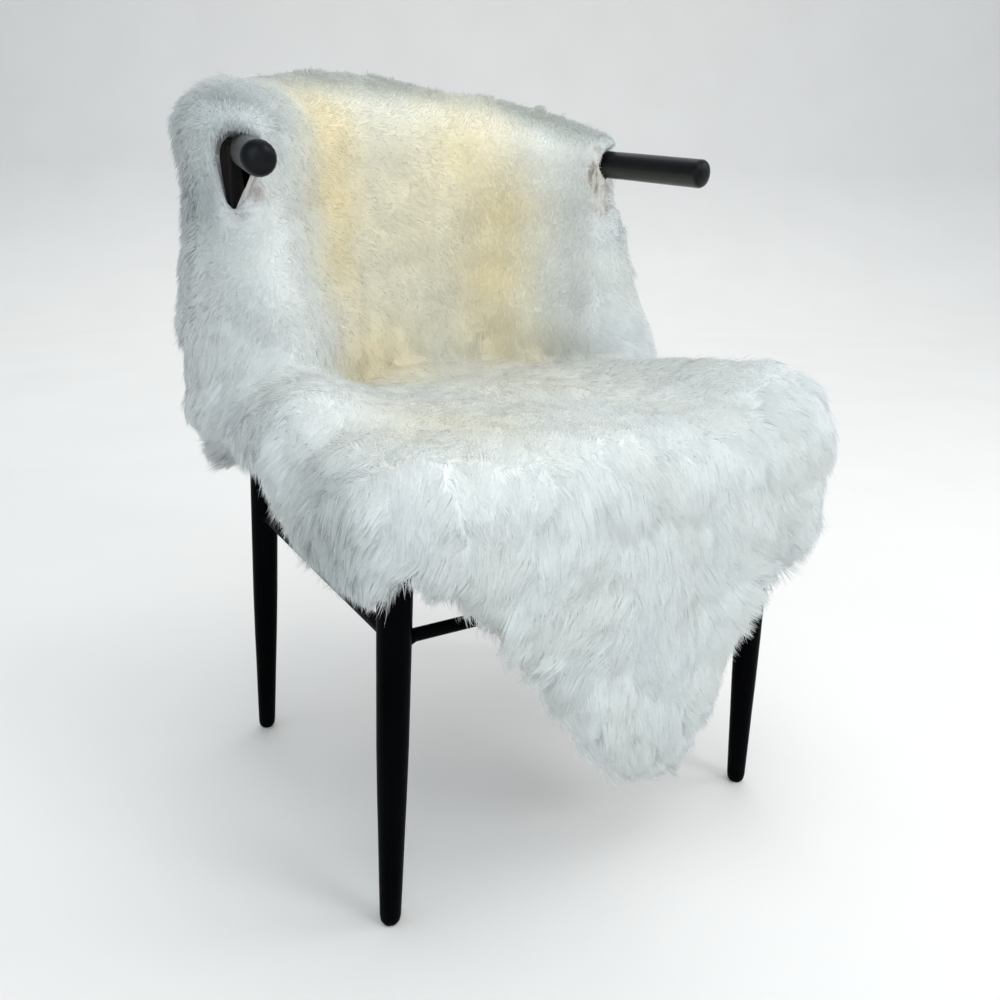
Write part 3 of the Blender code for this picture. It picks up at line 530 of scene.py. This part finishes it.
def chairward(points):
    """For each point, the nearest place on the seat's block or on the curtain that hangs from the rail."""
    margin = np.array([SEAT_MARGIN, SEAT_MARGIN, 0.0])
    low, high = SEAT_LOW + margin, SEAT_HIGH - margin
    low[2] = 0.0
    on_block = np.clip(points, low, high)
    rail = rail_line()
    nearest = np.empty(len(points), int)
    for start in range(0, len(points), BLOCK_OF_POINTS):
        part = points[start : start + BLOCK_OF_POINTS, None, :2] - rail[None, :, :2]
        nearest[start : start + BLOCK_OF_POINTS] = (part**2).sum(axis=2).argmin(axis=1)
    on_curtain = rail[nearest]
    on_curtain[:, 2] = np.clip(points[:, 2], SEAT_TOP, on_curtain[:, 2])
    block_is_nearer = np.linalg.norm(on_block - points, axis=1) < np.linalg.norm(on_curtain - points, axis=1)
    return np.where(block_is_nearer[:, None], on_block, on_curtain)


def faces_chair(points, normals):
    """Which of these places are the hide's skin side, which looks at the chair."""
    away = chairward(points) - points
    far = np.linalg.norm(away, axis=1)
    return ((unit(away) * normals).sum(axis=1) > SKIN_FACING) & (far < SKIN_REACH)


# The hide
def drop_islands(builder):
    """Leaves out the small patches that aren't joined to the rest of the sheet."""
    left = set(builder.faces)
    while left:
        island, front = set(), [left.pop()]
        while front:
            face = front.pop()
            island.add(face)
            for edge in face.edges:
                for other in edge.link_faces:
                    if other in left:
                        left.remove(other)
                        front.append(other)
        if len(island) < SMALLEST_ISLAND:
            bmesh.ops.delete(builder, geom=list(island), context="FACES")


def skin_side(closed):
    """The skin side of the hide as a thin suede sheet."""
    builder = bmesh.new()
    builder.from_mesh(closed)
    builder.faces.ensure_lookup_table()
    centres = np.array([face.calc_center_median() for face in builder.faces])
    normals = np.array([face.normal for face in builder.faces])
    is_skin = faces_chair(centres, normals) & ~hole_wall(centres, normals)
    wool = [face for face, skin in zip(builder.faces, is_skin) if not skin]
    bmesh.ops.delete(builder, geom=wool, context="FACES")
    bmesh.ops.subdivide_edges(builder, edges=builder.edges, cuts=1, use_grid_fill=True)
    for _ in range(PELT_TRIM_ROWS):
        open_edges = [edge for edge in builder.edges if edge.is_boundary]
        rim = {vert for edge in open_edges for vert in edge.verts if vert.co.z < PELT_TRIM_BELOW}
        cut = [face for face in builder.faces if rim & set(face.verts)]
        bmesh.ops.delete(builder, geom=cut, context="FACES")
    drop_islands(builder)
    mesh = bpy.data.meshes.new("pelt")
    builder.to_mesh(mesh)
    builder.free()
    mesh.shade_smooth()
    # Painted shade: the suede is darkened near the arm holes
    shade = mesh.color_attributes.new("tint", "FLOAT_COLOR", "POINT")
    away = np.full(len(mesh.vertices), 1.0)
    places = in_chair(vectors(mesh.vertices, "co"))
    for x, y, z in ARM_HOLES:
        away = np.minimum(away, distance_to_line(places, (x, y, z), (x, y, z - ARM_HOLE_DROP)))
    lit = DARKEST_SKIN_SHADE + (1.0 - DARKEST_SKIN_SHADE) * smoothstep(SHADE_NEAR, SHADE_FAR, away)
    rgba = np.column_stack([lit, lit, lit, np.ones(len(lit))])
    shade.data.foreach_set("color", rgba.astype(np.float32).ravel())
    suede = suede_material("suede_pelt", SUEDE_DARK, SUEDE_LIGHT, True)
    obj = add_object("pelt", mesh, suede)
    mesh.materials.append(suede_material("pelt_cut_edge", CUT_EDGE_DARK, CUT_EDGE_LIGHT, False))
    shell = obj.modifiers.new("thickness", "SOLIDIFY")
    shell.thickness = PELT_THICKNESS
    shell.offset = -1.0
    shell.material_offset = 1
    shell.material_offset_rim = 1
    return obj


def fleece_body(closed):
    """The dense underwool: the solid's form, smoothed and drawn in, so that the locks reach its surface."""
    finish = wool_material("underwool", fine_scale=240.0, bump=0.0015, through=0.0)
    obj = add_object("fleece_body", closed.copy(), finish)
    remesh = obj.modifiers.new("remesh", "REMESH")
    remesh.mode = "VOXEL"
    remesh.voxel_size = VOXEL
    soften = obj.modifiers.new("soften", "SMOOTH")
    soften.factor = 0.5
    soften.iterations = BODY_SMOOTHING
    mesh = evaluated_mesh(obj)
    obj.modifiers.clear()
    obj.data = mesh
    mesh.materials.clear()
    mesh.materials.append(finish)
    mesh.shade_smooth()
    points = vectors(mesh.vertices, "co")
    normals = vectors(mesh.vertices, "normal")
    edges = np.empty(len(mesh.edges) * 2, np.int32)
    mesh.edges.foreach_get("vertices", edges)
    edges = edges.reshape(-1, 2)
    faces_in = faces_chair(points, normals)
    wall = hole_wall(points, normals)
    bare = smooth_over((faces_in | wall).astype(float), edges, 2)
    skin = smooth_over((faces_in & ~wall).astype(float), edges, 2)
    wall = smooth_over(wall.astype(float), edges, 2)
    tree = BVHTree.FromPolygons(
        [v.co[:] for v in closed.vertices], [p.vertices[:] for p in closed.polygons]
    )
    thick = np.empty(len(points))
    for i, (point, normal) in enumerate(zip(points, normals)):
        start = Vector(point - normal * RAY_START)
        hit = tree.ray_cast(start, Vector(-normal), RAY_LENGTH)
        thick[i] = hit[3] + RAY_START if hit[0] else THIN_WOOL
    cropped = shortness(in_chair(points))
    inset = np.minimum(BODY_INSET, BODY_INSET_SHARE * thick) * (1.0 - CROPPED_INSET * cropped)
    inset = inset * (1.0 - skin) + PELT_ROOM * skin
    inset = inset * (1.0 - wall) - WALL_FULLNESS * wall
    tufts = TUFT_HEIGHT * noise_at(points, TUFT_SPACING, 2.0)
    tufts = tufts * (1.0 - PANEL_TUFTS * on_panel(points, normals)) * (1.0 - cropped)
    tufts = np.maximum(tufts, -DEEPEST_TUFT * np.abs(inset))
    inset = smooth_over(inset + np.where(bare > 0.5, 0.0, tufts), edges, 3)
    normals = unit(smooth_over(normals, edges, 4))
    moved = smooth_over(points - normals * inset[:, None], edges, 2)
    mesh.vertices.foreach_set("co", moved.astype(np.float32).ravel())
    mesh.update()
    return obj, moved, normals, inset, bare


def zone_amount(places, zones):
    amount = np.zeros(len(places))
    for zone in zones:
        away = np.linalg.norm(places - np.array(zone.middle), axis=1)
        amount = 1.0 - (1.0 - amount) * (1.0 - zone.strength * np.exp(-((away / zone.reach) ** 2)))
    return amount[:, None]


# The wool's colour, with painted shade on the crest and the greyer zones and painted light on the back's
# inner side
def wool_colour_and_painted_light(points):
    places = in_chair(points)
    warm = zone_amount(places, WARM_ZONES)
    colour = WOOL_WHITE * (1.0 - warm) + WOOL_WARM * warm
    # Painted shade: the crest is painted greyer
    drop = CREST_DROP * smoothstep(CREST_DROP_START, CREST_DROP_END, places[:, 0])
    crest = CREST_SHADE_SHARE * smoothstep(CREST_LOW, CREST_HIGH, places[:, 2] + drop)[:, None]
    colour = colour * (1.0 - crest) + WOOL_CREST_SHADE * crest
    # The first of these paints shade: the greyer zones stand for shade on the wool
    for zones, tone in ((PAINTED_SHADE_ZONES, WOOL_PAINTED_SHADE), (BROWN_ZONES, WOOL_BROWN), (BARE_ZONES, WOOL_BARE)):
        amount = zone_amount(places, zones)
        colour = colour * (1.0 - amount) + tone * amount
    # Painted light: the inner side of the back is painted lighter
    back = smoothstep(*BACK_RISE, places[:, 2])
    back = back * smoothstep(*BACK_RIGHT, places[:, 0]) * smoothstep(*BACK_LEFT, places[:, 0])
    colour = colour * (1.0 + BACK_PAINTED_LIGHT * back * smoothstep(*BACK_DEPTH, places[:, 1]))[:, None]
    more = STREAK_MORE * smoothstep(STREAK_MORE_TOP, STREAK_MORE_LOW, places[:, 2])
    marks = noise_at(places * STREAK_STRETCH, STREAK_SPACING, STREAK_OFFSET)
    streaks = smoothstep(0.00, STREAK_FULL, marks + more)
    streaks = STREAK_SHARE * streaks[:, None] * zone_amount(places, BARE_ZONES)
    return colour * (1.0 - streaks) + WOOL_STREAK * streaks


def noise_at(points, spacing, offset):
    shift = Vector((offset, -offset, 0.37 * offset))
    return np.array([noise.noise(Vector(point) / spacing + shift) for point in points])


def on_panel(points, normals):
    """1 on the smooth inner side of the back, between its wings, and 0 elsewhere."""
    places = in_chair(points)
    share = smoothstep(*PANEL_RISE, places[:, 2]) * smoothstep(*PANEL_RIGHT, places[:, 0])
    return share * smoothstep(*PANEL_LEFT, places[:, 0]) * (normals[:, 1] < PANEL_TILT)


def distance_to_line(places, start, end):
    start, along = np.array(start), np.array(end) - np.array(start)
    share = np.clip((places - start) @ along / (along @ along), 0.0, 1.0)
    return np.linalg.norm(places - start - share[:, None] * along, axis=1)


def shortness(places):
    """1 where the hair is cropped beside an arm hole, 0 away from it."""
    most = np.zeros(len(places))
    for crop in CROPS:
        away = distance_to_line(places, crop.start, crop.end)
        most = np.maximum(most, 1.0 - smoothstep(crop.inner, crop.outer, away))
    return most


def hole_wall(points, normals):
    """Which of these places are on the cut edge of an arm hole, whose faces all run along the arm."""
    places = in_chair(points)
    near = np.zeros(len(places), bool)
    for x, y, z in ARM_HOLES:
        drop = np.clip(z - places[:, 2], 0.0, ARM_HOLE_DROP)
        away = places - np.column_stack([np.full(len(places), x), places[:, 1], z - drop])
        inward = (away * normals).sum(axis=1) < 0.0
        beside = np.linalg.norm(away, axis=1) < HOLE_WALL_REACH
        near |= inward & beside & (np.abs(places[:, 1] - y) < HOLE_WALL_DEPTH)
    return near & (np.abs(normals[:, 1]) < HOLE_WALL_TILT)


def flow(points, normals):
    """The way the wool is combed: out over the seat's edges, and down where it hangs."""
    places = in_chair(points)
    spread = places - np.array([0.0, SEAT_MIDDLE_BACK, 0.0])
    spread[:, 2] = 0.0
    on_seat = 1.0 - smoothstep(SEAT_WOOL_LOW, SEAT_WOOL_HIGH, places[:, 2])
    raw = unit(spread) * (SEAT_OUTWARD * on_seat)[:, None]
    raw[:, 2] -= 1.0
    for comb in COMBS:
        near = np.exp(-((np.linalg.norm(places - np.array(comb.middle), axis=1) / comb.reach) ** 2))
        raw += COMB_STRENGTH * near[:, None] * np.array(comb.heading)
    along = raw - normals * dots(raw, normals)
    weak = np.linalg.norm(along, axis=1) < WEAK_COMB
    along[weak] = np.cross(normals[weak], [1.0, 0.0, 0.0])
    return unit(along)


def turned(directions, normals, angles):
    """Directions in the surface, turned about its normal by these angles."""
    sideways = np.cross(normals, directions)
    return directions * np.cos(angles)[:, None] + sideways * np.sin(angles)[:, None]


def scattered(random, mesh, bare, count):
    """Evenly scattered places on the woolly part of the body: corner indices and their weights."""
    mesh.calc_loop_triangles()
    corners = np.empty(len(mesh.loop_triangles) * 3, np.int32)
    mesh.loop_triangles.foreach_get("vertices", corners)
    corners = corners.reshape(-1, 3)
    corners = corners[bare[corners].mean(axis=1) < 0.5]
    points = vectors(mesh.vertices, "co")[corners]
    area = np.linalg.norm(np.cross(points[:, 1] - points[:, 0], points[:, 2] - points[:, 0]), axis=1)
    reach = np.cumsum(area)
    steps = (np.arange(count) + random.random(count)) / count * reach[-1]
    chosen = corners[np.minimum(np.searchsorted(reach, steps), len(corners) - 1)]
    weights = random.random((count, 2))
    flip = weights.sum(axis=1) > 1.0
    weights[flip] = 1.0 - weights[flip]
    weights = np.column_stack([1.0 - weights.sum(axis=1), weights])
    return chosen, weights, area.sum() / 2.0


def blend_at(values, corners, weights):
    weights = weights if values.ndim == 1 else weights[:, :, None]
    return (values[corners] * weights).sum(axis=1)


def nearest_of(centres, points):
    tree = KDTree(len(centres))
    for i, centre in enumerate(centres):
        tree.insert(centre, i)
    tree.balance()
    return np.array([tree.find(point)[1] for point in points])


def locks(random, body):
    """Tapered strands of wool that gather a little into small locks, and those into bigger ones."""
    obj, points, normals, inset, bare = body
    corners, weights, area = scattered(random, obj.data, bare, STRANDS)
    roots = blend_at(points, corners, weights)
    ups = unit(blend_at(normals, corners, weights))
    room = blend_at(inset, corners, weights)
    places = in_chair(roots)
    panel = on_panel(roots, ups)
    plush = np.maximum(panel, smoothstep(PLUSH_LOW, PLUSH_HIGH, places[:, 2]) * PLUSH_SHARE)

    small = np.arange(0, STRANDS, max(int(STRANDS * SMALL_LOCK_SPACING**2 / area), 1))
    big = np.arange(0, STRANDS, max(int(STRANDS * BIG_LOCK_SPACING**2 / area), 1))
    big_of_small = nearest_of(roots[big], roots[small])
    small_of = nearest_of(roots[small], roots)

    swirl = sum(strength * noise_at(roots[small], spacing, offset) for strength, spacing, offset in SWIRLS)
    big_turn = random.normal(0.0, TURN_BIG, len(big))[big_of_small]
    turn = swirl * SWIRL_TURN + big_turn + random.normal(0.0, TURN_SMALL, len(small))
    turn = turn * (1.0 - TURN_PANEL * panel[small])
    small_size = np.exp(random.normal(0.0, SIZE_SMALL, len(small)))
    lock_size = small_size * np.exp(random.normal(0.0, SIZE_BIG, len(big)))[big_of_small]
    lock_size = lock_size[small_of]

    cropped = shortness(places)
    own_turn = random.normal(0.0, TURN_STRAND + TURN_PLUSH * plush)
    heading = turned(flow(roots, ups), ups, turn[small_of] + own_turn)
    stray = random.random(STRANDS) < STRAYS
    proud = (PROUD_LEAST + PROUD_MORE * random.random(STRANDS)) * (1.0 - PROUD_PANEL * panel)
    proud = proud + PROUD_STRAY * stray
    room = np.where(cropped < CROPPED_FROM, np.maximum(room, RIM_ROOM), room)
    height = (room * lock_size + proud) * (1.0 - CROPPED_HEIGHT * cropped)
    reach = REACH - REACH_PLUSH * plush - REACH_PANEL * panel
    reach = reach * lock_size * np.clip(room / FULL_ROOM, LEAST_ROOM, 1.0)
    reach *= (1.0 - CROPPED_REACH * cropped) * (REACH_FROM + REACH_SPREAD * random.random(STRANDS))

    rise = np.sin(STEPS * math.pi * 0.5) ** RISE_POWER
    run = STEPS**RUN_POWER
    strands = roots[:, None, :] + ups[:, None, :] * (height[:, None] * rise)[:, :, None]
    strands += heading[:, None, :] * (reach[:, None] * run)[:, :, None]
    strands[:, :, 2] -= (reach[:, None] * SAG) * STEPS**2

    for centre, spacing, strength, keep in (
        (big[big_of_small][small_of], BIG_LOCK_SPACING, BIG_PULL, BIG_KEEP),
        (small[small_of], SMALL_LOCK_SPACING, SMALL_PULL, SMALL_KEEP),
    ):
        apart = roots - roots[centre]
        together = dots(ups, ups[centre])[:, 0] > LOCK_FACING
        together &= np.linalg.norm(apart, axis=1) < LOCK_REACH * spacing
        pull = strength * together * (1.0 - LOOSE_PLUSH * plush) * (1.0 - LOOSE_STRAY * stray)
        pull = pull[:, None] * STEPS**PULL_POWER
        goal = strands[centre] + apart[:, None, :] * keep
        strands = strands * (1.0 - pull[:, :, None]) + goal * pull[:, :, None]

    low, high = (np.array(corner) for corner in CAD_BOX)
    past = np.maximum(strands[:, 2] - high, low - strands[:, 2]).max(axis=1)
    share = np.where(past > BOX_ROOM, BOX_SHARE, 1.0)[:, None, None]
    strands = roots[:, None, :] + (strands - roots[:, None, :]) * share

    along = strands[:, 2] - strands[:, 0]
    flat = unit(np.cross(along, ups) + 1e-9)
    spin = random.normal(0.0, SPIN, STRANDS)[:, None]
    flat = flat * np.cos(spin) + unit(np.cross(along, flat)) * np.sin(spin)
    half = STRAND_WIDTH * 0.5 * (WIDTH_FROM + WIDTH_SPREAD * random.random(STRANDS))
    half = half * (1.0 - STRAY_WIDTH * stray)
    sides = (strands[:, 1] + flat * half[:, None], strands[:, 1] - flat * half[:, None])
    kites = np.stack([strands[:, 0], *sides, strands[:, 2]], axis=1)

    rounded = (roots - roots[big[big_of_small][small_of]]) / BIG_LOCK_SPACING
    rounded = np.clip(rounded, -ROUND_LIMIT, ROUND_LIMIT) * ROUND_SHARE
    bent = ups + rounded * (1.0 - LOOSE_PLUSH * plush)[:, None]
    bent = unit(bent + random.normal(0.0, NORMAL_SPREAD, (STRANDS, 3)))

    big_tone = random.normal(0.0, TONE_BIG, len(big))[big_of_small]
    tone = (1.0 + big_tone + random.normal(0.0, TONE_SMALL, len(small)))[small_of]
    tone = tone + random.normal(0.0, TONE_STRAND, STRANDS)
    colour = wool_colour_and_painted_light(roots) * tone[:, None]
    cream = CREAM_MIDDLE + CREAM_SWING * noise_at(roots[small], CREAM_SPACING, CREAM_OFFSET)
    cream = np.clip(cream, 0.0, 1.0)[small_of][:, None] * CREAM_SHARE
    colour = colour * (1.0 - cream) + WOOL_WARM * cream
    return kites, bent, colour


def strand_piece(name, kites, bent, colour, finish):
    """One mesh of strands: each is two slim triangles that share their widest edge and bend there."""
    count = len(kites)
    corners = (np.arange(count) * 4)[:, None, None] + np.array([[0, 1, 2], [1, 3, 2]])[None]
    mesh = bpy.data.meshes.new(name)
    mesh.vertices.add(count * 4)
    mesh.vertices.foreach_set("co", kites.astype(np.float32).ravel())
    mesh.loops.add(corners.size)
    mesh.loops.foreach_set("vertex_index", corners.astype(np.int32).ravel())
    mesh.polygons.add(2 * count)
    mesh.polygons.foreach_set("loop_start", np.arange(2 * count, dtype=np.int32) * 3)
    mesh.update(calc_edges=True)
    mesh.shade_smooth()
    layer = mesh.color_attributes.new("tint", "FLOAT_COLOR", "POINT")
    rgba = np.repeat(np.column_stack([np.clip(colour, 0.0, BRIGHTEST), np.ones(count)]), 4, axis=0)
    layer.data.foreach_set("color", rgba.astype(np.float32).ravel())
    mesh.normals_split_custom_set_from_vertices(np.repeat(bent, 4, axis=0).astype(np.float32))
    return add_object(name, mesh, finish)


def tint_body(body):
    obj, points = body[0], body[1]
    layer = obj.data.color_attributes.new("tint", "FLOAT_COLOR", "POINT")
    colour = np.clip(wool_colour_and_painted_light(points), 0.0, BRIGHTEST)
    rgba = np.concatenate([colour, np.ones((len(points), 1))], axis=1)
    layer.data.foreach_set("color", rgba.astype(np.float32).ravel())


def make_hide():
    random = np.random.default_rng(SEED)
    closed = packed_mesh("sheepskin")
    pelt = skin_side(closed)
    body = fleece_body(closed)
    tint_body(body)
    kites, bent, colour = locks(random, body)
    finish = wool_material("wool_strands", fine_scale=300.0, bump=0.0, through=0.50)
    order = random.permutation(STRANDS)
    pieces = [body[0]]
    for i in range(STRAND_PIECES):
        part = order[i::STRAND_PIECES]
        pieces.append(strand_piece(f"wool_locks_{i + 1}", kites[part], bent[part], colour[part], finish))
        pieces[-1].visible_shadow = False
    for piece in [pelt] + pieces:
        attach(piece, "root")
    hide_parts("sheepskin")


def finish_chair():
    legs = lacquer_material(*LEG_LACQUER)
    rail = lacquer_material(*RAIL_LACQUER)
    for name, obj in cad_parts.items():
        if name != "sheepskin":
            obj.data.materials.clear()
            obj.data.materials.append(rail if name == "top_rail" else legs)


# Camera, floor and light
def make_camera():
    data = bpy.data.cameras.new("camera")
    data.sensor_fit = "HORIZONTAL"
    data.sensor_width = CAMERA.sensor
    data.lens = CAMERA.lens
    data.shift_x, data.shift_y = CAMERA.shift
    data.dof.use_dof = False
    obj = bpy.data.objects.new("camera", data)
    bpy.context.scene.collection.objects.link(obj)
    bpy.context.scene.camera = obj
    turn, tilt, roll = (math.radians(angle) for angle in (CAMERA.azimuth, CAMERA.pitch, CAMERA.roll))
    ahead = Vector((-math.sin(turn) * math.cos(tilt), math.cos(turn) * math.cos(tilt), -math.sin(tilt)))
    level = Vector((math.cos(turn), math.sin(turn), 0.0))
    down = ahead.cross(level)
    right = math.cos(roll) * level + math.sin(roll) * down
    lower = -math.sin(roll) * level + math.cos(roll) * down
    rotation = Matrix((right, -lower, -ahead)).transposed().to_4x4()
    obj.matrix_world = Matrix.Translation(Vector(CAMERA.place) + Vector(CHAIR)) @ rotation


def make_floor():
    """A paper sweep: flat under the chair, and curved up well behind it."""
    builder = bmesh.new()
    profile = [(SWEEP_FRONT, 0.0), (SWEEP_START, 0.0)]
    for angle in np.linspace(SWEEP_FIRST_STEP, math.pi / 2, SWEEP_STEPS):
        profile.append((SWEEP_START + SWEEP_RADIUS * math.sin(angle), SWEEP_RADIUS * (1.0 - math.cos(angle))))
    profile += [(SWEEP_START + SWEEP_RADIUS, SWEEP_TOP)]
    turn = Matrix.Rotation(math.radians(CAMERA.azimuth), 4, "Z")
    rows = []
    for back, height in profile:
        sides = (-SWEEP_HALF_WIDTH, SWEEP_HALF_WIDTH)
        rows.append([builder.verts.new(turn @ Vector((side, back, height))) for side in sides])
    for low, high in zip(rows, rows[1:]):
        builder.faces.new((low[0], low[1], high[1], high[0]))
    mesh = bpy.data.meshes.new("floor")
    builder.to_mesh(mesh)
    builder.free()
    mesh.shade_smooth()
    add_object("floor", mesh, floor_material())


def soft_light(name, place, target, size, power, colour):
    data = bpy.data.lights.new(name, "AREA")
    data.shape = "DISK"
    data.size = size
    data.energy = power
    data.color = colour
    obj = bpy.data.objects.new(name, data)
    bpy.context.scene.collection.objects.link(obj)
    obj.location = Vector(place) + Vector(CHAIR)
    aim = Vector(target) - Vector(place)
    obj.rotation_euler = aim.to_track_quat("-Z", "Y").to_euler()


def make_light():
    world = bpy.data.worlds.new("studio")
    bpy.context.scene.world = world
    world.use_nodes = True
    sky = world.node_tree.nodes["Background"]
    sky.inputs["Color"].default_value = SKY_COLOUR
    sky.inputs["Strength"].default_value = SKY_STRENGTH
    for light in LIGHTS:
        soft_light(*light)
    bpy.context.scene.view_settings.view_transform = "Standard"


make_camera()
make_floor()
make_light()
finish_chair()
make_hide()
